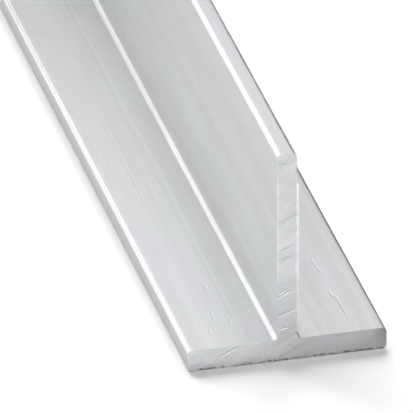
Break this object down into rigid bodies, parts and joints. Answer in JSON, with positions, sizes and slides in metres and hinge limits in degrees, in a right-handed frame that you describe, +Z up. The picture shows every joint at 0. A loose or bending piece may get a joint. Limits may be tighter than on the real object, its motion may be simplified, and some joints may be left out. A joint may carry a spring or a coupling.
{
  "type": "aluminium t profile",
  "caption": "Equal-sided aluminium T-section bar, one metre long, for edging, joining, stiffening or carrying panels.",
  "frame": {"origin": "on the underside of the flange, halfway along the bar and below the middle of the web", "axes": "+X across the flange, +Y along the bar away from the cut end that the picture shows, +Z up the web"},
  "size_m": [0.02, 1, 0.02],
  "materials": {
    "mill_aluminium": "mill finish, bare metal with fine die lines along the bar and sawn ends"
  },
  "bodies": {
    "root": {"t_bar": "mill_aluminium"}
  },
  "joints": []
}
